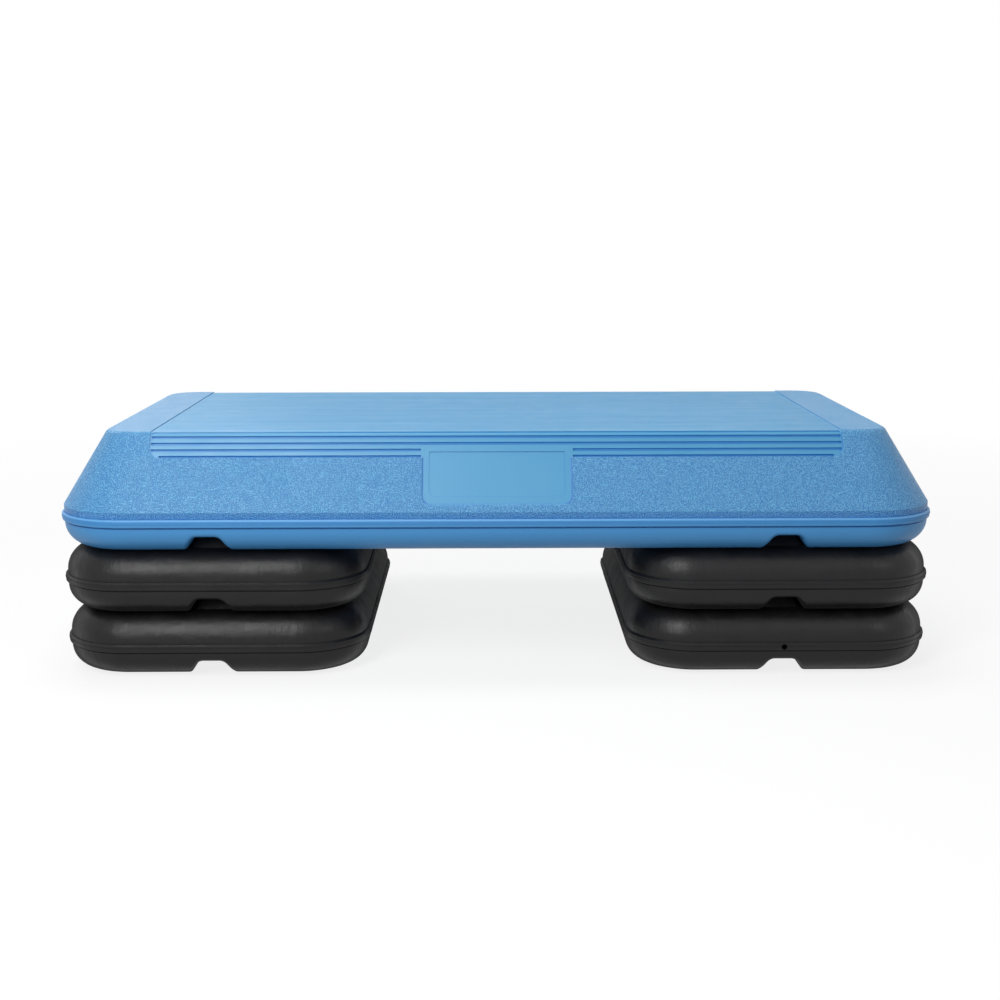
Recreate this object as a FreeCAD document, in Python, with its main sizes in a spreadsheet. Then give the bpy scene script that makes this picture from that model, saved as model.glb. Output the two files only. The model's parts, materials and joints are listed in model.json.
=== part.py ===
import FreeCAD, Part
import os
import re
import Sketcher
from FreeCAD import Placement, Rotation, Vector

# Aerobic step platform, in millimetres: a hollow ribbed deck on two stacks of hollow risers.
# The origin lies on the floor under the middle of the deck. X runs along the deck, the front
# is at -Y and Z is up. Left and right are as seen from the front.

# Driving sizes
SIZES = {
    # shells
    "shell_wall": 3.5,
    "rim_level": 21.3,
    "rim_height": 6.5,
    "rim_proud": 2.3,
    "rim_bevel": 1.3,
    "rim_round": 0.8,
    "flash_proud": 0.3,
    "flash_height": 0.8,
    "seam_height": 1.2,
    "seam_depth": 1,
    "needle_radius": 2.4,
    "needle_lift": 2.9,
    # deck
    "deck_length": 724,
    "deck_depth": 368,
    "deck_height": 94,
    "deck_corner": 60,
    "deck_heel": 19,
    "deck_kerb": 5.5,
    "deck_slope_run": 39.5,
    "deck_top_corner": 26,
    "deck_top_round": 6,
    # ribbed tread and plaque
    "tread_length": 564,
    "tread_recess": 0.8,
    "tread_corner": 8,
    "rib_pitch": 5.75,
    "groove_radius": 1.25,
    "groove_sink": 0.25,
    "groove_end_gap": 1.2,
    "top_groove_gap": 2,
    "slope_groove_start": 5.25,
    "slope_grooves": 4,
    "plaque_grooves": 2,
    "plaque_width": 121,
    "plaque_lift": 5.6,
    "plaque_corner": 7,
    "plaque_margin": 5.5,
    "plaque_field_recess": 0.4,
    # risers
    "riser_width": 255,
    "riser_setback": 2,
    "riser_height": 52,
    "riser_corner": 58,
    "riser_shoulder": 22,
    "riser_heel": 18,
    # locating channel in each underside and the ridge that sits in it
    "channel_mouth": 37,
    "channel_roof": 21,
    "channel_depth": 13,
    "channel_roof_round": 7,
    "channel_mouth_round": 4,
    "ridge_clearance": 2,
    "ridge_headroom": 2,
    "ridge_setback": 24,
    "ridge_round": 3,
    # tack-off wells, where the lower skin is drawn up to the upper one
    "deck_well_mouth": 27,
    "deck_well_end": 14,
    "deck_well_pitch": 70,
    "deck_well_spread": 74,
    "riser_well_mouth": 21,
    "riser_well_end": 13,
    "riser_well_spread": 70,
    "riser_well_pitch": 96,
    # push-in feet and the dimples that they sit in
    "foot_radius": 11,
    "foot_proud": 2,
    "foot_inset": 46,
    "foot_edge": 0.6,
    "stem_radius": 4,
    "stem_clearance": 0.1,
    "barb_radius": 5.5,
    "barb_length": 5,
    "dimple_clearance": 2,
    "dimple_headroom": 0.6,
}

# Formulas that several pieces share
RIM_TOP = "(rim_level + rim_height)"
SLOPE_FOOT = f"({RIM_TOP} + deck_kerb)"
SLOPE_ANGLE = f"atan((deck_height - {SLOPE_FOOT}) / (deck_slope_run - rim_proud))"
FLANK_RUN = "((channel_mouth - channel_roof) / 2 / channel_depth)"
FLANK_STRETCH = f"sqrt(1 + {FLANK_RUN} ^ 2)"
RIDGE_HEIGHT = "(channel_depth - ridge_headroom)"
DIMPLE_DEPTH = "(foot_proud + dimple_headroom)"
RISER_DEPTH = "(deck_depth - 2 * riser_setback)"
STACK_X = "(deck_length / 2 - riser_width / 2)"
FOOT_X = "(riser_width / 2 - foot_inset)"
FOOT_Y = f"({RISER_DEPTH} / 2 - foot_inset)"
NEEDLE_LEVEL = "(rim_level + needle_lift)"
TWO_SKINS = "(2 * shell_wall)"
NEEDLE_START = "(3 * shell_wall)"
NEEDLE_REACH = "(4 * shell_wall)"
DECK_UNDERSIDE = "(foot_proud + 2 * riser_height)"
GROOVE_DROP = "(tread_recess + groove_sink)"

# Lengths and volumes that count as nothing
NO_LENGTH = 1e-4
NO_VOLUME = 1e-3

doc = FreeCAD.newDocument("aerobic_step")
sheet = doc.addObject("Spreadsheet::Sheet", "Sizes")
for row, (name, size) in enumerate(SIZES.items(), 1):
    sheet.set(f"A{row}", name)
    sheet.set(f"B{row}", str(size))
    sheet.setAlias(f"B{row}", name)
doc.recompute()


def formula(text):
    """The text with each size's name pointing at its cell in the sheet."""
    return re.sub(r"[a-z]\w*", lambda found: "Sizes." + found[0] if found[0] in SIZES else found[0], text)


def value(text):
    return float(sheet.evalExpression(formula(text)))


def bind(thing, path, text):
    thing.setExpression(path, formula(text))


# Sketches
def new_sketch(body, name, role, offset="0"):
    """A sketch on one of the body's own planes, moved along that plane's normal."""
    sketch = body.newObject("Sketcher::SketchObject", name)
    plane = next(feature for feature in body.Origin.OriginFeatures if feature.Role == role)
    sketch.AttachmentSupport = [(plane, "")]
    sketch.MapMode = "FlatFace"
    bind(sketch, "AttachmentOffset.Base.z", offset)
    return sketch


def dimension(sketch, kind, places, text):
    index = sketch.addConstraint(Sketcher.Constraint(kind, *places, value(text)))
    sketch.setExpression(f"Constraints[{index}]", formula(text))


def place_point(sketch, geometry, vertex, x, y):
    """Tie a point to the sketch's origin, on an axis where its distance is nil."""
    for kind, axis, text in (("DistanceX", -2, x), ("DistanceY", -1, y)):
        size = value(text)
        if abs(size) < NO_LENGTH:
            sketch.addConstraint(Sketcher.Constraint("PointOnObject", geometry, vertex, axis))
        elif size > 0:
            dimension(sketch, kind, (-1, 1, geometry, vertex), text)
        else:
            dimension(sketch, kind, (geometry, vertex, -1, 1), f"-({text})")


def polygon(sketch, points):
    corners = [Vector(value(x), value(y), 0) for x, y in points]
    first = sketch.GeometryCount
    count = len(points)
    for i in range(count):
        sketch.addGeometry(Part.LineSegment(corners[i], corners[(i + 1) % count]))
    for i in range(count):
        sketch.addConstraint(Sketcher.Constraint("Coincident", first + i, 2, first + (i + 1) % count, 1))
    for i, (x, y) in enumerate(points):
        place_point(sketch, first + i, 1, x, y)


def circle(sketch, x, y, radius):
    centre = Vector(value(x), value(y), 0)
    index = sketch.addGeometry(Part.Circle(centre, Vector(0, 0, 1), value(radius)))
    place_point(sketch, index, 3, x, y)
    dimension(sketch, "Radius", (index,), radius)


def rounded_rectangle(sketch, width, depth, radius):
    """A rectangle about the origin, as four lines with an arc after each."""
    first = sketch.GeometryCount
    half_x = value(width) / 2
    half_y = value(depth) / 2
    arc = value(radius)
    turns = [(1, -1), (1, 1), (-1, 1), (-1, -1)]
    for quarter, (sx, sy) in enumerate(turns):
        centre = Vector(sx * (half_x - arc), sy * (half_y - arc), 0)
        along = Rotation(Vector(0, 0, 1), 90 * quarter).multVec(Vector(1, 0, 0))
        outward = Vector(along.y, -along.x, 0)
        reach = (half_x if quarter % 2 == 0 else half_y) - arc
        end = centre + outward * arc
        sketch.addGeometry(Part.LineSegment(end - along * 2 * reach, end))
        start_angle = FreeCAD.Units.Quantity(90 * (quarter - 1), FreeCAD.Units.Angle).getValueAs("rad")
        quarter_turn = FreeCAD.Units.Quantity("90 deg").getValueAs("rad")
        corner = Part.Circle(centre, Vector(0, 0, 1), arc)
        sketch.addGeometry(Part.ArcOfCircle(corner, float(start_angle), float(start_angle + quarter_turn)))
    front, right, rear, left = (first + 2 * quarter for quarter in range(4))
    for side, following in ((front, right), (right, rear), (rear, left), (left, front)):
        sketch.addConstraint(Sketcher.Constraint("Tangent", side, 2, side + 1, 1))
        sketch.addConstraint(Sketcher.Constraint("Tangent", side + 1, 2, following, 1))
    for side in (front, rear):
        sketch.addConstraint(Sketcher.Constraint("Horizontal", side))
    for side in (right, left):
        sketch.addConstraint(Sketcher.Constraint("Vertical", side))
    for side in (right, rear, left):
        sketch.addConstraint(Sketcher.Constraint("Equal", front + 1, side + 1))
    sketch.addConstraint(Sketcher.Constraint("Symmetric", front, 1, rear, 1, -1, 1))
    dimension(sketch, "DistanceX", (left, 1, right, 1), width)
    dimension(sketch, "DistanceY", (front, 1, rear, 1), depth)
    dimension(sketch, "Radius", (front + 1,), radius)


# Features
def finish_feature(body, feature):
    body.Tip = feature
    doc.recompute()
    return feature


def pad(body, sketch, name, length, symmetric=False):
    feature = body.newObject("PartDesign::Pad", name)
    feature.Profile = sketch
    feature.SideType = "Symmetric" if symmetric else "One side"
    bind(feature, "Length", length)
    return finish_feature(body, feature)


def pocket(body, sketch, name, length, symmetric=False, along_normal=False):
    """Cut a sketch's profile out of the body, and make sure that it took something away."""
    before = body.Shape.Volume
    feature = body.newObject("PartDesign::Pocket", name)
    feature.Profile = sketch
    feature.SideType = "Symmetric" if symmetric else "One side"
    feature.Reversed = along_normal
    bind(feature, "Length", length)
    finish_feature(body, feature)
    if body.Shape.Volume >= before - NO_VOLUME:
        raise RuntimeError(f"{name} cuts nothing")
    return feature


def loft(body, lower, upper, name):
    feature = body.newObject("PartDesign::AdditiveLoft", name)
    feature.Profile = lower
    feature.Sections = [upper]
    feature.Ruled = True
    return finish_feature(body, feature)


def dress_edges(body, kind, setting, name, size, wanted):
    base = body.Tip
    edges = [f"Edge{i}" for i, edge in enumerate(base.Shape.Edges, 1) if wanted(edge)]
    feature = body.newObject(f"PartDesign::{kind}", name)
    feature.Base = (base, edges)
    bind(feature, setting, size)
    return finish_feature(body, feature)


def round_edges(body, name, radius, wanted):
    return dress_edges(body, "Fillet", "Radius", name, radius, wanted)


def bevel_edges(body, name, size, wanted):
    return dress_edges(body, "Chamfer", "Size", name, size, wanted)


def at_height(text):
    """Picks the edges whose ends lie at one height."""
    level = value(text)
    return lambda edge: all(abs(vertex.Z - level) < NO_LENGTH for vertex in edge.Vertexes)


def well(body, name, x, y, mouth, end, depth):
    """A tapered round well drawn up from the underside."""
    feature = body.newObject("PartDesign::SubtractiveCone", name)
    plane = next(item for item in body.Origin.OriginFeatures if item.Role == "XY_Plane")
    feature.AttachmentSupport = [(plane, "")]
    feature.MapMode = "FlatFace"
    bind(feature, "AttachmentOffset.Base.x", x)
    bind(feature, "AttachmentOffset.Base.y", y)
    bind(feature, "Radius1", mouth)
    bind(feature, "Radius2", end)
    bind(feature, "Height", depth)
    return finish_feature(body, feature)


def new_body(name):
    return doc.addObject("PartDesign::Body", name)


def cut(name, base, tool):
    result = doc.addObject("Part::Cut", name)
    result.Base = base
    result.Tool = tool
    doc.recompute()
    return result


# Shared details of the mouldings
def rim_ring(sketch, sizes, draw_in):
    width, depth, corner = (f"{size} - {count} * {draw_in}" for size, count in zip(sizes, (2, 2, 1)))
    rounded_rectangle(sketch, width, depth, corner)


def rim_outline(body, part, level, sizes, draw_in):
    """A sketch at one level with the moulding's outline, drawn in by some distance."""
    sketch = new_sketch(body, f"{body.Name}_{part}_outline", "XY_Plane", level)
    rim_ring(sketch, sizes, draw_in)
    return sketch


def rim_bead(body, width, depth, corner):
    """The bead at the parting line: bevelled lip, thin flash at its middle, narrow seam below it."""
    sizes = (width, depth, corner)
    bead = rim_outline(body, "rim", "rim_level", sizes, "flash_proud")
    pad(body, bead, body.Name + "_rim", "rim_height")
    half_x = value(f"{width} / 2 - flash_proud")
    half_y = value(f"{depth} / 2 - flash_proud")

    def on_outline(vertex):
        return min(abs(abs(vertex.X) - half_x), abs(abs(vertex.Y) - half_y)) < NO_LENGTH

    def lip_edge(edge):
        return at_height(RIM_TOP)(edge) and all(on_outline(vertex) for vertex in edge.Vertexes)

    def nose_edge(edge):
        return at_height("rim_level")(edge) and all(on_outline(vertex) for vertex in edge.Vertexes)

    bevel_edges(body, body.Name + "_rim_lip", "rim_bevel", lip_edge)
    round_edges(body, body.Name + "_rim_nose", "rim_round", nose_edge)
    flash = rim_outline(body, "flash", "rim_level + (rim_height - flash_height) / 2", sizes, "0")
    pad(body, flash, body.Name + "_flash", "flash_height")
    seam = rim_outline(body, "seam", "rim_level - seam_height", sizes, "0")
    rim_ring(seam, sizes, "(rim_proud + seam_depth)")
    pocket(body, seam, body.Name + "_seam", "seam_height", along_normal=True)


def channels(body, centres, run, inset):
    """Locating channels from front to back, wider and deeper by the wall in a cavity."""
    sketch = new_sketch(body, body.Name + "_channel_section", "XZ_Plane")
    mouth = f"channel_mouth / 2 + {inset} * {FLANK_STRETCH}"
    roof = f"channel_roof / 2 + {inset} * ({FLANK_STRETCH} - {FLANK_RUN})"
    ceiling = f"channel_depth + {inset}"
    for centre in centres:
        points = [
            (f"{centre} - ({mouth})", "0"),
            (f"{centre} + ({mouth})", "0"),
            (f"{centre} + ({roof})", ceiling),
            (f"{centre} - ({roof})", ceiling),
        ]
        polygon(sketch, points)
    pocket(body, sketch, body.Name + "_channels", f"2 * {run}", symmetric=True)


def round_channels(body, centres):
    """Soft edges along the roof, the mouth and the ends of each channel."""
    middles = [value(centre) for centre in centres]
    half = value("channel_mouth / 2")
    run = value(FLANK_RUN)
    ceiling = value("channel_depth") + NO_LENGTH

    def on_flank(vertex):
        return vertex.Z < ceiling and any(
            abs(abs(vertex.X - middle) - (half - run * vertex.Z)) < NO_LENGTH for middle in middles
        )

    def flank_edge(edge):
        return all(on_flank(vertex) for vertex in edge.Vertexes)

    def roof_edge(edge):
        ends = edge.Vertexes
        along = abs(ends[0].X - ends[-1].X) < NO_LENGTH
        return along and at_height("channel_depth")(edge) and flank_edge(edge)

    round_edges(body, body.Name + "_channel_roof", "channel_roof_round", roof_edge)
    round_edges(body, body.Name + "_channel_mouth", "channel_mouth_round", flank_edge)


def stem_holes(body, places):
    sketch = new_sketch(body, body.Name + "_stem_centres", "XY_Plane")
    for x, y in places:
        circle(sketch, x, y, "stem_radius + stem_clearance")
    pocket(body, sketch, body.Name + "_stem_holes", TWO_SKINS, along_normal=True)


def needle_hole(body, depth, front):
    """The small hole that the blowing needle leaves in one long side, just under the bead's top."""
    side = 1 if front else -1
    start = f"{side} * ({depth} / 2 - {NEEDLE_START})"
    sketch = new_sketch(body, body.Name + "_needle_centre", "XZ_Plane", start)
    circle(sketch, "0", NEEDLE_LEVEL, "needle_radius")
    pocket(body, sketch, body.Name + "_needle_hole", NEEDLE_REACH, along_normal=front)


# Deck
def deck_form(name, inset, top_drop):
    """The deck's closed form, or its cavity when inset is the wall and top_drop the top skin."""
    body = new_body(name)
    width = f"deck_length - 2 * rim_proud - 2 * {inset}"
    depth = f"deck_depth - 2 * rim_proud - 2 * {inset}"
    corner = f"deck_corner - rim_proud - {inset}"
    base = new_sketch(body, name + "_base_outline", "XY_Plane", inset)
    rounded_rectangle(base, width, depth, corner)
    pad(body, base, name + "_base", f"{SLOPE_FOOT} - {inset}")
    round_edges(body, name + "_heel", f"deck_heel - {inset}", at_height(inset))
    lower = new_sketch(body, name + "_slope_outline", "XY_Plane", SLOPE_FOOT)
    rounded_rectangle(lower, width, depth, corner)
    upper = new_sketch(body, name + "_top_outline", "XY_Plane", f"deck_height - {top_drop}")
    rounded_rectangle(
        upper,
        f"deck_length - 2 * deck_slope_run - {inset}",
        f"deck_depth - 2 * deck_slope_run - {inset}",
        f"deck_top_corner - {inset} / 2",
    )
    loft(body, lower, upper, name + "_slope")
    return body


def deck_foot_places():
    for x in (f"-({STACK_X} + {FOOT_X})", f"({STACK_X} + {FOOT_X})"):
        for y in (f"-{FOOT_Y}", FOOT_Y):
            yield x, y


def deck_well_places():
    for x in ("-deck_well_pitch", "0", "deck_well_pitch"):
        for y in ("-deck_well_spread", "deck_well_spread"):
            yield x, y


def deck_outside():
    body = deck_form("deck_outside", "0", "0")
    round_edges(body, "deck_top_edge", "deck_top_round", at_height("deck_height"))
    rim_bead(body, "deck_length", "deck_depth", "deck_corner")
    channels(body, (f"-{STACK_X}", STACK_X), "deck_depth", "0")
    round_channels(body, (f"-{STACK_X}", STACK_X))
    stem_holes(body, deck_foot_places())
    needle_hole(body, "deck_depth", front=False)
    reach = f"deck_height - tread_recess - {TWO_SKINS}"
    for number, (x, y) in enumerate(deck_well_places()):
        well(body, f"deck_well_{number}", x, y, "deck_well_mouth", "deck_well_end", reach)
    return body


def deck_cavity():
    body = deck_form("deck_cavity", "shell_wall", "(tread_recess + shell_wall)")
    channels(body, (f"-{STACK_X}", STACK_X), "deck_depth", "shell_wall")
    for number, (x, y) in enumerate(deck_well_places()):
        mouth = "deck_well_mouth + shell_wall"
        end = "deck_well_end + shell_wall"
        well(body, f"deck_well_post_{number}", x, y, mouth, end, "deck_height")
    return body


def tread_core(name, depth):
    """What stays under a recess of one depth: the deck's cross-section, drawn in by that depth."""
    body = new_body(name)
    sketch = new_sketch(body, name + "_section", "YZ_Plane")
    foot = f"(deck_depth / 2 - rim_proud - {depth} / sin({SLOPE_ANGLE}))"
    edge = f"(deck_depth / 2 - deck_slope_run - {depth} * tan({SLOPE_ANGLE} / 2))"
    top = f"deck_height - {depth}"
    polygon(sketch, [(f"-{foot}", SLOPE_FOOT), (foot, SLOPE_FOOT), (edge, top), (f"-{edge}", top)])
    pad(body, sketch, name + "_run", "deck_length", symmetric=True)

    def long_top(edge_line):
        return at_height(top)(edge_line) and edge_line.Length > value("deck_length / 2")

    round_edges(body, name + "_edges", f"deck_top_round - {depth}", long_top)
    return body


def recess_mask(name, width, low, high, corner, front_only):
    """The part of the deck's length and height that a recess covers, with rounded lower corners."""
    body = new_body(name)
    sketch = new_sketch(body, name + "_outline", "XZ_Plane")
    half = f"({width}) / 2"
    polygon(sketch, [(f"-{half}", low), (half, low), (half, high), (f"-{half}", high)])
    pad(body, sketch, name + "_block", "deck_depth" if front_only else "2 * deck_depth", not front_only)

    def low_corner(edge):
        ends = edge.Vertexes
        return at_height(low)(edge) and abs(ends[0].X - ends[1].X) < NO_LENGTH

    round_edges(body, name + "_corners", corner, low_corner)
    return body


def slope_height(distance):
    """Height of the point on the slope at this distance below the top edge."""
    return f"(deck_height - ({distance}) * sin({SLOPE_ANGLE}))"


def groove(name, y, z, start, end):
    """A half-round groove along X, as the cylinder that cuts it."""
    rod = doc.addObject("Part::Cylinder", name)
    rod.Placement = Placement(Vector(), Rotation(Vector(0, 1, 0), 90))
    bind(rod, "Radius", "groove_radius")
    bind(rod, "Height", f"({end}) - ({start})")
    bind(rod, "Placement.Base.x", start)
    bind(rod, "Placement.Base.y", y)
    bind(rod, "Placement.Base.z", z)
    return rod


def tread_grooves():
    """Grooves over the top, round both long edges and down both slopes, broken by the plaque in front."""
    reach = "(tread_length / 2 - groove_end_gap)"
    short_reach = "(tread_length / 2 - tread_corner)"
    break_half = "(plaque_width / 2 + groove_radius)"
    edge_y = f"(deck_depth / 2 - deck_slope_run - deck_top_round * tan({SLOPE_ANGLE} / 2))"
    outer_y = f"({edge_y} - top_groove_gap)"
    rods = []
    last_top = int(value(f"{outer_y} / rib_pitch")) - 1
    for k in range(-last_top, last_top + 1):
        rods.append(groove(f"top_groove_{k + last_top}", f"{k} * rib_pitch", f"deck_height - {GROOVE_DROP}",
                           f"-{reach}", reach))
    slope_count = int(SIZES["slope_grooves"])
    broken_from = slope_count - int(SIZES["plaque_grooves"])
    for side, face in ((-1, "front"), (1, "rear")):
        rods.append(groove(f"{face}_top_groove", f"{side} * {outer_y}", f"deck_height - {GROOVE_DROP}",
                           f"-{reach}", reach))
        turn = f"(deck_top_round - {GROOVE_DROP})"
        rods.append(groove(
            f"{face}_edge_groove",
            f"{side} * ({edge_y} + {turn} * sin({SLOPE_ANGLE} / 2))",
            f"deck_height - deck_top_round + {turn} * cos({SLOPE_ANGLE} / 2)",
            f"-{reach}", reach,
        ))
        for k in range(slope_count):
            distance = f"(slope_groove_start + {k} * rib_pitch)"
            out = f"(deck_depth / 2 - deck_slope_run + {distance} * cos({SLOPE_ANGLE}))"
            y = f"{side} * ({out} - {GROOVE_DROP} * sin({SLOPE_ANGLE}))"
            z = f"{slope_height(distance)} - {GROOVE_DROP} * cos({SLOPE_ANGLE})"
            far = short_reach if k == slope_count - 1 else reach
            if face == "front" and k >= broken_from:
                rods.append(groove(f"{face}_groove_{k}_left", y, z, f"-{far}", f"-{break_half}"))
                rods.append(groove(f"{face}_groove_{k}_right", y, z, break_half, far))
            else:
                rods.append(groove(f"{face}_groove_{k}", y, z, f"-{far}", far))
    bundle = doc.addObject("Part::Compound", "tread_grooves")
    bundle.Links = rods
    doc.recompute()
    return bundle


def deck_shell():
    last_groove = "(slope_groove_start + (slope_grooves - 1) * rib_pitch)"
    tread_foot = slope_height(f"{last_groove} + groove_radius")
    plaque_foot = f"({SLOPE_FOOT} + plaque_lift)"
    last_whole_groove = "(slope_groove_start + (slope_grooves - plaque_grooves - 1) * rib_pitch)"
    plaque_top = slope_height(f"{last_whole_groove} + groove_radius")
    above = "deck_height + deck_top_round"
    tread = recess_mask("tread_mask", "tread_length", tread_foot, above, "tread_corner", False)
    plaque = recess_mask("plaque_mask", "plaque_width", plaque_foot, above, "plaque_corner", True)
    field = recess_mask(
        "plaque_field_mask",
        "plaque_width - 2 * plaque_margin",
        f"{plaque_foot} + plaque_margin",
        f"{plaque_top} - plaque_margin",
        "plaque_corner - plaque_margin / 2",
        True,
    )
    masks = doc.addObject("Part::MultiFuse", "recess_masks")
    masks.Shapes = [tread, plaque]
    doc.recompute()
    recess = cut("tread_recess_tool", masks, tread_core("tread_core", "tread_recess"))
    field_depth = "(tread_recess + plaque_field_recess)"
    field_recess = cut("plaque_field_tool", field, tread_core("plaque_field_core", field_depth))
    recessed = cut("deck_recessed", deck_outside(), recess)
    fielded = cut("deck_fielded", recessed, field_recess)
    ribbed = cut("deck_ribbed", fielded, tread_grooves())
    shell = cut("deck_shell", ribbed, deck_cavity())
    bind(shell, "Placement.Base.z", DECK_UNDERSIDE)
    return shell


# Risers
def riser_form(name, inset):
    """A riser's pillow form with its ridge, or its cavity when inset is the wall."""
    body = new_body(name)
    base = new_sketch(body, name + "_outline", "XY_Plane", inset)
    rounded_rectangle(
        base,
        f"riser_width - 2 * rim_proud - 2 * {inset}",
        f"{RISER_DEPTH} - 2 * rim_proud - 2 * {inset}",
        f"riser_corner - rim_proud - {inset}",
    )
    pad(body, base, name + "_block", f"riser_height - 2 * {inset}")
    round_edges(body, name + "_shoulder", f"riser_shoulder - {inset}", at_height(f"riser_height - {inset}"))
    round_edges(body, name + "_heel", f"riser_heel - {inset}", at_height(inset))
    sections = []
    for part, height in (("foot", "(-riser_shoulder / 2)"), ("crest", f"({RIDGE_HEIGHT} - {inset})")):
        sketch = new_sketch(body, f"{name}_ridge_{part}", "XY_Plane", f"riser_height + {height}")
        taper = f"({FLANK_RUN} * {height} + {inset} * {FLANK_STRETCH})"
        half_x = f"(channel_mouth / 2 - ridge_clearance - {taper})"
        half_y = f"({RISER_DEPTH} / 2 - ridge_setback - {taper})"
        points = [
            (f"-{half_x}", f"-{half_y}"),
            (half_x, f"-{half_y}"),
            (half_x, half_y),
            (f"-{half_x}", half_y),
        ]
        polygon(sketch, points)
        sections.append(sketch)
    loft(body, sections[0], sections[1], name + "_ridge")
    return body


def foot_places():
    for x in (f"-{FOOT_X}", FOOT_X):
        for y in (f"-{FOOT_Y}", FOOT_Y):
            yield x, y


def riser_well_places():
    for x in ("-riser_well_spread", "riser_well_spread"):
        for y in ("-riser_well_pitch / 2", "riser_well_pitch / 2"):
            yield x, y


def dimples(body, inset):
    """Shallow seats in the top for the feet of the piece above."""
    sketch = new_sketch(body, body.Name + "_dimple_centres", "XY_Plane", f"riser_height - {inset}")
    for x, y in foot_places():
        circle(sketch, x, y, f"foot_radius + dimple_clearance + {inset}")
    pocket(body, sketch, body.Name + "_dimples", DIMPLE_DEPTH)


def riser_outside():
    body = riser_form("riser_outside", "0")
    crest = value(f"riser_height + {RIDGE_HEIGHT}")

    def crest_edge(edge):
        return any(abs(vertex.Z - crest) < NO_LENGTH for vertex in edge.Vertexes)

    round_edges(body, "riser_ridge_edges", "ridge_round", crest_edge)
    rim_bead(body, "riser_width", RISER_DEPTH, "riser_corner")
    channels(body, ("0",), RISER_DEPTH, "0")
    round_channels(body, ("0",))
    dimples(body, "0")
    stem_holes(body, foot_places())
    needle_hole(body, RISER_DEPTH, front=True)
    reach = f"riser_height - {TWO_SKINS}"
    for number, (x, y) in enumerate(riser_well_places()):
        well(body, f"riser_well_{number}", x, y, "riser_well_mouth", "riser_well_end", reach)
    return body


def riser_cavity():
    body = riser_form("riser_cavity", "shell_wall")
    channels(body, ("0",), RISER_DEPTH, "shell_wall")
    dimples(body, "shell_wall")
    for number, (x, y) in enumerate(riser_well_places()):
        mouth = "riser_well_mouth + shell_wall"
        end = "riser_well_end + shell_wall"
        well(body, f"riser_well_post_{number}", x, y, mouth, end, "riser_height")
    return body


def riser_shell(name, outside, cavity, x, z, turned):
    shell = cut(name, outside, cavity)
    shell.Placement = Placement(Vector(), Rotation(Vector(0, 0, 1), 180 if turned else 0))
    bind(shell, "Placement.Base.x", x)
    bind(shell, "Placement.Base.z", z)
    return shell


# Feet
def foot_section():
    """Half the section of a push-in foot, whose seat is at height 0: head, neck and barb."""
    sketch = doc.addObject("Sketcher::SketchObject", "foot_section")
    sketch.Placement = Placement(Vector(), Rotation(Vector(1, 0, 0), 90))
    neck = "shell_wall + stem_clearance"
    points = [
        ("0", "-foot_proud"),
        ("foot_radius - foot_edge", "-foot_proud"),
        ("foot_radius", "foot_edge - foot_proud"),
        ("foot_radius", "0"),
        ("stem_radius", "0"),
        ("stem_radius", neck),
        ("barb_radius", neck),
        ("stem_radius - stem_clearance", f"{neck} + barb_length"),
        ("0", f"{neck} + barb_length"),
    ]
    polygon(sketch, points)
    doc.recompute()
    return sketch


def foot(name, section, x, y, z):
    turned = doc.addObject("Part::Revolution", name)
    turned.Source = section
    turned.Axis = Vector(0, 0, 1)
    turned.Base = Vector()
    turned.Angle = 360
    turned.Solid = True
    bind(turned, "Placement.Base.x", x)
    bind(turned, "Placement.Base.y", y)
    bind(turned, "Placement.Base.z", z)
    return turned


# The stack
def build_stack():
    pieces = [deck_shell()]
    section = foot_section()
    outside = riser_outside()
    cavity = riser_cavity()
    for side, sign in (("left", -1), ("right", 1)):
        for face, turn in (("front", -1), ("rear", 1)):
            x = f"{sign} * ({STACK_X} + {FOOT_X})"
            pieces.append(foot(f"deck_foot_{side}_{face}", section, x, f"{turn} * {FOOT_Y}", DECK_UNDERSIDE))
        for level, z in (("upper", "foot_proud + riser_height"), ("lower", "foot_proud")):
            riser = f"{side}_{level}_riser"
            needle_in_front = riser == "right_lower_riser"
            pieces.append(riser_shell(riser, outside, cavity, f"{sign} * {STACK_X}", z, not needle_in_front))
            for reach, out in (("outer", 1), ("inner", -1)):
                for face, turn in (("front", -1), ("rear", 1)):
                    x = f"{sign} * ({STACK_X} + {out} * {FOOT_X})"
                    pieces.append(foot(f"{riser}_foot_{reach}_{face}", section, x, f"{turn} * {FOOT_Y}", z))
    doc.recompute()
    return pieces


def check(pieces):
    for item in doc.Objects:
        if any(word in item.State for word in ("Invalid", "Error")):
            raise RuntimeError(f"{item.Label} failed: {item.State}")
    for piece in pieces:
        shape = piece.Shape
        if shape.isNull() or not shape.isValid() or len(shape.Solids) != 1:
            raise RuntimeError(f"{piece.Label} is not one valid solid")


pieces = build_stack()
check(pieces)
os.makedirs("parts", exist_ok=True)
for piece in pieces:
    piece.Shape.exportStep(f"parts/{piece.Label}.step")
    print(piece.Label, round(piece.Shape.Volume / 1000, 1), "cm3")
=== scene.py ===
import json
import math

import bmesh
import bpy
from mathutils import Matrix

# Aerobic step platform in its studio, in metres and in the frame of the solids.
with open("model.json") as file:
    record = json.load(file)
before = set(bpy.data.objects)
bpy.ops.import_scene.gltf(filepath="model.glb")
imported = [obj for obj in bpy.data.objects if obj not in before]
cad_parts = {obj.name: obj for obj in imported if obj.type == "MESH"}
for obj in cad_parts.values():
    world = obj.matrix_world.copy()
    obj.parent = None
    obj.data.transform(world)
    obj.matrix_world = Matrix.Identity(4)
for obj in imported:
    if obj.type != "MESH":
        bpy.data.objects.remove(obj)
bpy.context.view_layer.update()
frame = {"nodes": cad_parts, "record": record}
scene = bpy.context.scene

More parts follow.
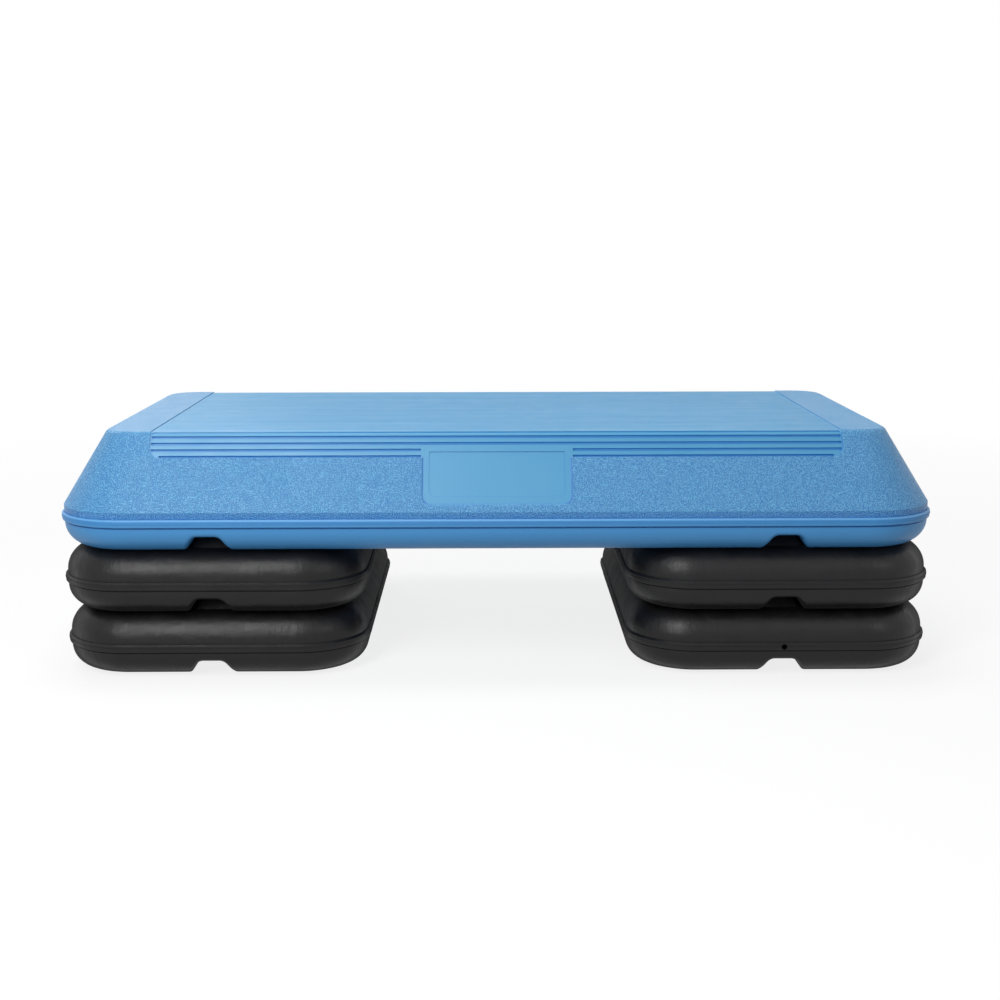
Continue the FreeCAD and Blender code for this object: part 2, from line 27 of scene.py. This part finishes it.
# Sizes of the deck that its material follows
TREAD_HALF = 0.282
TREAD_FOOT = 0.17975
TREAD_CORNER = 0.008
TREAD_FADE = 0.0003
PLAQUE_HALF = 0.0605
PLAQUE_FOOT = 0.1449
PLAQUE_CORNER = 0.007
PLAQUE_FADE = 0.001
BORDER_FADE = 0.0009
RIM_TOP = 0.1338
KERB_TOP = 0.1393
DECK_TOP = 0.2
CREASE_REACH = 0.003

# Colours in sRGB from 0 to 255, as a pair where a surface varies between two
SMOOTH_BLUES = ((69, 145, 189), (75, 149, 192))
# Pebble grain's tone, with painted shade in the hollows of its pebbles
GRAIN_AND_HOLLOW_SHADE_BLUES = ((36, 113, 179), (93, 165, 211))
# Painted light and wear: the top's paler, greener blues, for its sheen as well as shoe wear
LIT_TRODDEN_SMOOTH_BLUES = ((66, 166, 206), (102, 190, 222))
LIT_TRODDEN_GRAIN_BLUES = ((40, 118, 172), (92, 166, 202))
# Painted shade: the kerb's grain in deeper blues, for the less light that the steep strip takes
SHADED_KERB_BLUES = ((16, 96, 178), (92, 166, 224))
# Painted shade: the lower half's deeper blue, for the less light that it takes
SHADED_LOWER_BLUE = (65, 141, 201)
# Painted highlight along the top edge of the bead
BEAD_HIGHLIGHT_BLUE = (112, 173, 222)
# Painted shade down the plaque's sides
BORDER_SHADE_BLUE = (34, 108, 178)
# Painted shade in grooves and corners
CREASE_SHADE_BLUE = (30, 118, 196)
RISER_BLACKS = ((10, 10, 12), (16, 16, 18))
RUBBER_BLACKS = ((30, 30, 31), (48, 47, 46))

# Share of a colour over the one that it covers
LIT_TRODDEN_SHARE = 0.4
GRAIN_SHARE = 0.9
BEAD_HIGHLIGHT_SHARE = 0.5
BORDER_SHADE_SHARE = 0.9
CREASE_SHADE_SHARE = 0.75

# Relief of the skins: how many to a metre, and how deep
PEBBLE_SCALE = 1200.0
PEBBLE_DEPTH = 0.00033
DECK_PEEL_SCALE = 160.0
DECK_PEEL_SHARE = 0.08
SINK_SCALE = (5.0, 14.0, 14.0)
SINK_DEPTH = 0.0005
STREAK_SCALE = (4.0, 150.0, 4.0)
WAVE_SCALE = (22.0, 30.0, 60.0)
WAVE_DEPTH = 0.001
MARK_SCALE = (260.0, 120.0, 90.0)
MARK_DEPTH = 0.0003
RISER_PEEL_SCALE = 900.0
RISER_PEEL_DEPTH = 0.00005
RUBBER_SCALE = 1400.0
RUBBER_DEPTH = 0.0001

# Gloss
PLASTIC_IOR = 1.5
DECK_SPECULAR = 0.55
RISER_SPECULAR = 0.3
FLOOR_SPECULAR = 0.1

# Stage
WHITE = (1.0, 1.0, 1.0, 1.0)
WORLD_LEVEL = 0.2
FLOOR_RADIUS = 30.0
FLOOR_LIT = (0.32, 0.32, 0.32, 1.0)
FLOOR_SEEN = (0.9, 0.9, 0.9, 1.0)
FLOOR_ROUGHNESS = 0.9
FLOOR_GLOW = 0.82
GLOW_FROM = 0.7
GLOW_FULL = 1.5

# Camera, fitted to the photograph on a frame 1000 pixels wide
CAMERA_PLACE = (-0.00808, -1.34428, 0.36686)
CAMERA_PITCH = 11.936
CAMERA_YAW = 0.504
CAMERA_ROLL = 0.092
CAMERA_LENS = 53.315
CAMERA_SENSOR = 36.0
CAMERA_SHIFT = 0.0345


# Shader graphs
def colour(red, green, blue):
    """An sRGB colour from 0 to 255, as the linear one that shaders take."""
    linear = []
    for part in (red, green, blue):
        part /= 255
        linear.append(part / 12.92 if part <= 0.04045 else ((part + 0.055) / 1.055) ** 2.4)
    return (*linear, 1.0)


class Graph:
    """A material's node tree, with short calls for the nodes that the finishes use."""

    def __init__(self, name):
        self.material = bpy.data.materials.new(name)
        self.material.use_nodes = True
        self.tree = self.material.node_tree
        self.shader = self.tree.nodes["Principled BSDF"]

    def join(self, socket, value):
        if isinstance(value, bpy.types.NodeSocket):
            self.tree.links.new(value, socket)
        else:
            socket.default_value = value

    def place(self):
        """Points on the piece itself, in metres, which move with it."""
        return self.tree.nodes.new("ShaderNodeTexCoord").outputs["Object"]

    def split(self, vector):
        node = self.tree.nodes.new("ShaderNodeSeparateXYZ")
        self.join(node.inputs[0], vector)
        return node.outputs

    def math(self, operation, *values):
        node = self.tree.nodes.new("ShaderNodeMath")
        node.operation = operation
        for socket, value in zip(node.inputs, values):
            self.join(socket, value)
        return node.outputs[0]

    def length(self, first, second):
        """The length of a flat vector from its two parts."""
        squares = self.math("ADD", self.math("POWER", first, 2.0), self.math("POWER", second, 2.0))
        return self.math("POWER", squares, 0.5)

    def stretch(self, vector, scale):
        node = self.tree.nodes.new("ShaderNodeMapping")
        self.join(node.inputs["Vector"], vector)
        node.inputs["Scale"].default_value = scale
        return node.outputs[0]

    def ramp(self, value, low, high, out_low=0.0, out_high=1.0):
        node = self.tree.nodes.new("ShaderNodeMapRange")
        self.join(node.inputs["Value"], value)
        settings = {"From Min": low, "From Max": high, "To Min": out_low, "To Max": out_high}
        for name, setting in settings.items():
            node.inputs[name].default_value = setting
        return node.outputs[0]

    def noise(self, vector, scale=1.0, detail=2.0, roughness=0.5):
        node = self.tree.nodes.new("ShaderNodeTexNoise")
        self.join(node.inputs["Vector"], vector)
        node.inputs["Scale"].default_value = scale
        node.inputs["Detail"].default_value = detail
        node.inputs["Roughness"].default_value = roughness
        return node.outputs["Fac"]

    def blend(self, factor, first, second):
        """A colour between two others."""
        node = self.tree.nodes.new("ShaderNodeMix")
        node.data_type = "RGBA"
        self.join(node.inputs["Factor"], factor)
        for name, tone in (("A", first), ("B", second)):
            socket = next(item for item in node.inputs if item.name == name and item.type == "RGBA")
            self.join(socket, tone)
        return next(item for item in node.outputs if item.type == "RGBA")

    def vary(self, factor, pair):
        """A colour between the two of an sRGB pair."""
        return self.blend(factor, colour(*pair[0]), colour(*pair[1]))

    def grazing(self):
        """0 where a surface is seen face on, 1 where it is seen edge on, for its gloss alone."""
        node = self.tree.nodes.new("ShaderNodeLayerWeight")
        node.inputs["Blend"].default_value = 0.5
        return node.outputs["Facing"]

    def crease_shade(self, reach):
        """Painted shade mask from ambient occlusion: 1 deep in a groove or corner of the piece, 0 where it
        lies open.
        """
        node = self.tree.nodes.new("ShaderNodeAmbientOcclusion")
        node.samples = 8
        node.only_local = True
        node.inputs["Distance"].default_value = reach
        return self.ramp(node.outputs["AO"], 0.95, 0.6)

    def bump(self, height, depth, normal=None):
        node = self.tree.nodes.new("ShaderNodeBump")
        self.join(node.inputs["Height"], height)
        node.inputs["Distance"].default_value = depth
        if normal is not None:
            self.join(node.inputs["Normal"], normal)
        return node.outputs["Normal"]

    def finish(self, **sockets):
        for name, value in sockets.items():
            self.join(self.shader.inputs[name.replace("_", " ")], value)
        return self.material


# Finishes
def rounded_area(graph, parts, half, foot, corner, fade):
    """1 inside an area of the deck's front view with rounded lower corners, 0 outside it."""
    beyond = graph.math("SUBTRACT", graph.math("ABSOLUTE", parts["X"]), half - corner)
    below = graph.math("SUBTRACT", foot + corner, parts["Z"])
    reach = graph.length(graph.math("MAXIMUM", beyond, 0.0), graph.math("MAXIMUM", below, 0.0))
    return graph.ramp(reach, corner + fade, corner - fade)


def plaque_border(graph, parts, front):
    """Painted shade: a dark line down both sides of the plaque and round its lower corners, where the wall
    of its recess falls in shade.
    """
    area = rounded_area(graph, parts, PLAQUE_HALF, PLAQUE_FOOT, PLAQUE_CORNER, BORDER_FADE)
    line = graph.math("SUBTRACT", 1.0, graph.math("ABSOLUTE", graph.ramp(area, 0.0, 1.0, -1.0, 1.0)))
    aside = graph.math("ABSOLUTE", parts["X"])
    side = graph.ramp(aside, PLAQUE_HALF - PLAQUE_CORNER, PLAQUE_HALF - PLAQUE_CORNER / 2)
    under = graph.ramp(parts["Z"], TREAD_FOOT, TREAD_FOOT - 0.001, 0.0, BORDER_SHADE_SHARE)
    return graph.math("MULTIPLY", line, graph.math("MULTIPLY", side, graph.math("MULTIPLY", front, under)))


def deck_tone(graph, point, parts, front, above, grained, grain):
    """The deck's colour: its grain with painted shade in the hollows of its pebbles, the top painted paler
    for its sheen as well as shoe wear, a painted highlight along the bead, and painted shade on the kerb, on
    the lower half, down the plaque's sides and in grooves and corners.
    """
    cloud = graph.ramp(graph.noise(point, 9.0, 3.0), 0.3, 0.7)
    streak = graph.ramp(graph.noise(graph.stretch(point, STREAK_SCALE), detail=1.0), 0.35, 0.65)
    # Painted light and wear: the top is painted paler and greener for its sheen as well as shoe wear, and
    # takes less of the painted shade in its grooves
    lit_trodden = graph.ramp(parts["Z"], DECK_TOP - 0.004, DECK_TOP - 0.001, 0.0, LIT_TRODDEN_SHARE)
    kerb = graph.ramp(parts["Z"], KERB_TOP, KERB_TOP - 0.001)

    smooth = graph.blend(lit_trodden, graph.vary(cloud, SMOOTH_BLUES), graph.vary(streak, LIT_TRODDEN_SMOOTH_BLUES))
    # Painted shade: the lower half below the bead in a deeper blue
    smooth = graph.blend(above, colour(*SHADED_LOWER_BLUE), smooth)
    # Grain tone, with painted shade in the hollows of the pebbles
    speckle_and_shade = graph.blend(lit_trodden, graph.vary(grain, GRAIN_AND_HOLLOW_SHADE_BLUES), graph.vary(grain, LIT_TRODDEN_GRAIN_BLUES))
    # Painted shade: the kerb's grain in deeper blues
    speckle_and_shade = graph.blend(kerb, speckle_and_shade, graph.vary(grain, SHADED_KERB_BLUES))
    tone = graph.blend(graph.math("MULTIPLY", grained, GRAIN_SHARE), smooth, speckle_and_shade)

    # Painted highlight: a pale line along the top of the bead, where its rounded edge catches the light
    bead_foot = graph.ramp(parts["Z"], RIM_TOP - 0.0018, RIM_TOP - 0.0008)
    bead_top = graph.ramp(parts["Z"], RIM_TOP + 0.0004, RIM_TOP, 0.0, BEAD_HIGHLIGHT_SHARE)
    tone = graph.blend(graph.math("MULTIPLY", bead_foot, bead_top), tone, colour(*BEAD_HIGHLIGHT_BLUE))
    # Painted shade down the plaque's sides and round its lower corners
    tone = graph.blend(plaque_border(graph, parts, front), tone, colour(*BORDER_SHADE_BLUE))
    # Painted shade: grooves and corners darkened by the occlusion mask
    shade = graph.math("SUBTRACT", CREASE_SHADE_SHARE, lit_trodden)
    return graph.blend(graph.math("MULTIPLY", graph.crease_shade(CREASE_REACH), shade), tone, colour(*CREASE_SHADE_BLUE))


def deck_roughness(graph, point, above, grained):
    """Satin on the smooth skin, duller on the grain and on the lower half, with a slight mottle."""
    skin = graph.ramp(grained, 0.0, 1.0, 0.36, 0.43)
    lower = graph.ramp(above, 0.0, 1.0, 0.12, 0.0)
    mottle = graph.ramp(graph.noise(point, 40.0, 3.0), 0.3, 0.7, -0.04, 0.04)
    return graph.math("ADD", graph.math("ADD", skin, lower), mottle)


def deck_relief(graph, point, grained, grain):
    """Pebbles where the skin is grained, a fine peel all over, and shallow sinks along the deck."""
    pebbles = graph.math("MULTIPLY", grain, grained)
    peel = graph.math("MULTIPLY", graph.noise(point, DECK_PEEL_SCALE), DECK_PEEL_SHARE)
    sinks = graph.bump(graph.noise(graph.stretch(point, SINK_SCALE)), SINK_DEPTH)
    return graph.bump(graph.math("ADD", pebbles, peel), PEBBLE_DEPTH, sinks)


def deck_plastic():
    """Blue polyethylene: pebble grain on the slopes and margins, smooth ribs, plaque and lower half."""
    graph = Graph("deck_plastic")
    point = graph.place()
    parts = graph.split(point)
    front = graph.math("LESS_THAN", parts["Y"], 0.0)
    above = graph.ramp(parts["Z"], RIM_TOP - 0.0002, RIM_TOP + 0.0004)
    tread = rounded_area(graph, parts, TREAD_HALF, TREAD_FOOT, TREAD_CORNER, TREAD_FADE)
    plaque = rounded_area(graph, parts, PLAQUE_HALF, PLAQUE_FOOT, PLAQUE_CORNER, PLAQUE_FADE)
    smooth = graph.math("MAXIMUM", tread, graph.math("MULTIPLY", plaque, front))
    grained = graph.math("MULTIPLY", above, graph.math("SUBTRACT", 1.0, smooth))
    # Pebble height, for the bump and for the grain's tone, whose hollows take painted shade
    grain = graph.ramp(graph.noise(point, PEBBLE_SCALE, 0.0), 0.36, 0.64)
    return graph.finish(
        Base_Color=deck_tone(graph, point, parts, front, above, grained, grain),
        Roughness=deck_roughness(graph, point, above, grained),
        Normal=deck_relief(graph, point, grained, grain),
        IOR=PLASTIC_IOR,
        Specular_IOR_Level=DECK_SPECULAR,
    )


def riser_plastic():
    """Black polyethylene, satin, with the slight waves and flow marks of blow moulding."""
    graph = Graph("riser_plastic")
    point = graph.place()
    normal = graph.bump(graph.noise(graph.stretch(point, WAVE_SCALE)), WAVE_DEPTH)
    normal = graph.bump(graph.noise(graph.stretch(point, MARK_SCALE)), MARK_DEPTH, normal)
    normal = graph.bump(graph.noise(point, RISER_PEEL_SCALE, 1.0), RISER_PEEL_DEPTH, normal)
    scuff = graph.ramp(graph.noise(point, 60.0, 5.0, 0.6), 0.35, 0.75)
    dulled = graph.ramp(graph.grazing(), 0.55, 0.9, 0.0, 0.55)
    return graph.finish(
        Base_Color=graph.vary(scuff, RISER_BLACKS),
        Roughness=graph.math("ADD", graph.ramp(scuff, 0.0, 1.0, 0.38, 0.48), dulled),
        Normal=normal,
        IOR=PLASTIC_IOR,
        Specular_IOR_Level=RISER_SPECULAR,
    )


def foot_rubber():
    """Matt black rubber with a fine grain and dusty wear."""
    graph = Graph("foot_rubber")
    point = graph.place()
    dust = graph.ramp(graph.noise(point, 220.0, 4.0, 0.6), 0.4, 0.75)
    return graph.finish(
        Base_Color=graph.vary(dust, RUBBER_BLACKS),
        Roughness=graph.ramp(dust, 0.0, 1.0, 0.72, 0.88),
        Normal=graph.bump(graph.noise(point, RUBBER_SCALE), RUBBER_DEPTH),
    )


# Stage
def seen_light(tree):
    """1 for the rays that show the backdrop itself: from the camera, in reflections and through glass."""
    path = tree.nodes.new("ShaderNodeLightPath")
    total = path.outputs["Is Camera Ray"]
    for name in ("Is Glossy Ray", "Is Transmission Ray"):
        node = tree.nodes.new("ShaderNodeMath")
        node.operation = "MAXIMUM"
        tree.links.new(total, node.inputs[0])
        tree.links.new(path.outputs[name], node.inputs[1])
        total = node.outputs[0]
    return total


def make_world():
    """Soft light from all round, white where it is seen."""
    world = bpy.data.worlds.new("studio")
    scene.world = world
    world.use_nodes = True
    tree = world.node_tree
    background = tree.nodes["Background"]
    background.inputs["Color"].default_value = WHITE
    node = tree.nodes.new("ShaderNodeMapRange")
    tree.links.new(seen_light(tree), node.inputs["Value"])
    node.inputs["To Min"].default_value = WORLD_LEVEL
    node.inputs["To Max"].default_value = 1.0
    tree.links.new(node.outputs[0], background.inputs["Strength"])


def floor_paint():
    """Pale paint that keeps the shadow near the object and fades to white further out."""
    graph = Graph("floor_paint")
    tree = graph.tree
    paint = graph.blend(seen_light(tree), FLOOR_LIT, FLOOR_SEEN)
    graph.finish(Base_Color=paint, Roughness=FLOOR_ROUGHNESS, Specular_IOR_Level=FLOOR_SPECULAR)
    parts = graph.split(graph.place())
    away = graph.length(parts["X"], parts["Y"])
    far = graph.math("MULTIPLY", graph.ramp(away, GLOW_FROM, GLOW_FULL, FLOOR_GLOW, 1.0), seen_light(tree))
    glow = tree.nodes.new("ShaderNodeEmission")
    glow.inputs["Color"].default_value = WHITE
    mix = tree.nodes.new("ShaderNodeMixShader")
    graph.join(mix.inputs["Fac"], far)
    tree.links.new(graph.shader.outputs[0], mix.inputs[1])
    tree.links.new(glow.outputs[0], mix.inputs[2])
    tree.links.new(mix.outputs[0], tree.nodes["Material Output"].inputs["Surface"])
    return graph.material


def make_floor():
    mesh = bpy.data.meshes.new("floor")
    work = bmesh.new()
    bmesh.ops.create_circle(work, cap_ends=True, segments=96, radius=FLOOR_RADIUS)
    work.to_mesh(mesh)
    work.free()
    floor = bpy.data.objects.new("floor", mesh)
    scene.collection.objects.link(floor)
    mesh.materials.append(floor_paint())


def softbox(name, place, aim, size, power):
    """A rectangular lamp that faces a point, with its power in watts."""
    lamp = bpy.data.lights.new(name, "AREA")
    lamp.shape = "RECTANGLE"
    lamp.size, lamp.size_y = size
    lamp.energy = power
    box = bpy.data.objects.new(name, lamp)
    scene.collection.objects.link(box)
    box.location = place
    direction = [end - start for end, start in zip(aim, place)]
    pitch = math.atan2(math.hypot(direction[0], direction[1]), -direction[2])
    box.rotation_euler = (pitch, 0.0, math.atan2(-direction[0], direction[1]))


def make_camera():
    lens = bpy.data.cameras.new("camera")
    lens.lens = CAMERA_LENS
    lens.sensor_width = CAMERA_SENSOR
    lens.sensor_fit = "HORIZONTAL"
    lens.shift_y = CAMERA_SHIFT
    camera = bpy.data.objects.new("camera", lens)
    scene.collection.objects.link(camera)
    turn = Matrix.Rotation(math.radians(-CAMERA_YAW), 4, "Z")
    turn = turn @ Matrix.Rotation(math.radians(90.0 - CAMERA_PITCH), 4, "X")
    turn = turn @ Matrix.Rotation(math.radians(-CAMERA_ROLL), 4, "Z")
    camera.matrix_world = Matrix.Translation(CAMERA_PLACE) @ turn
    scene.camera = camera


# Each solid takes the finish of its slot
finishes = {
    "deck_plastic": deck_plastic(),
    "riser_plastic": riser_plastic(),
    "foot_rubber": foot_rubber(),
}
for subpart in frame["record"]["subparts"]:
    mesh = frame["nodes"][subpart["node"]].data
    mesh.materials.clear()
    mesh.materials.append(finishes[subpart["material_slot"]])

make_world()
make_floor()
softbox("key_light", (-0.52, -1.15, 0.9), aim=(-0.1, -0.15, 0.12), size=(0.46, 1.0), power=13.5)
softbox("side_light", (1.35, -1.5, 1.2), aim=(0.1, -0.1, 0.12), size=(0.3, 0.5), power=4.0)
softbox("top_light", (-0.15, 0.3, 2.4), aim=(0.0, 0.0, 0.1), size=(1.4, 0.9), power=28.0)
softbox("back_light", (-1.0, 1.7, 1.3), aim=(-0.2, 0.0, 0.2), size=(1.1, 0.8), power=9.0)
make_camera()

scene.view_settings.view_transform = "Standard"
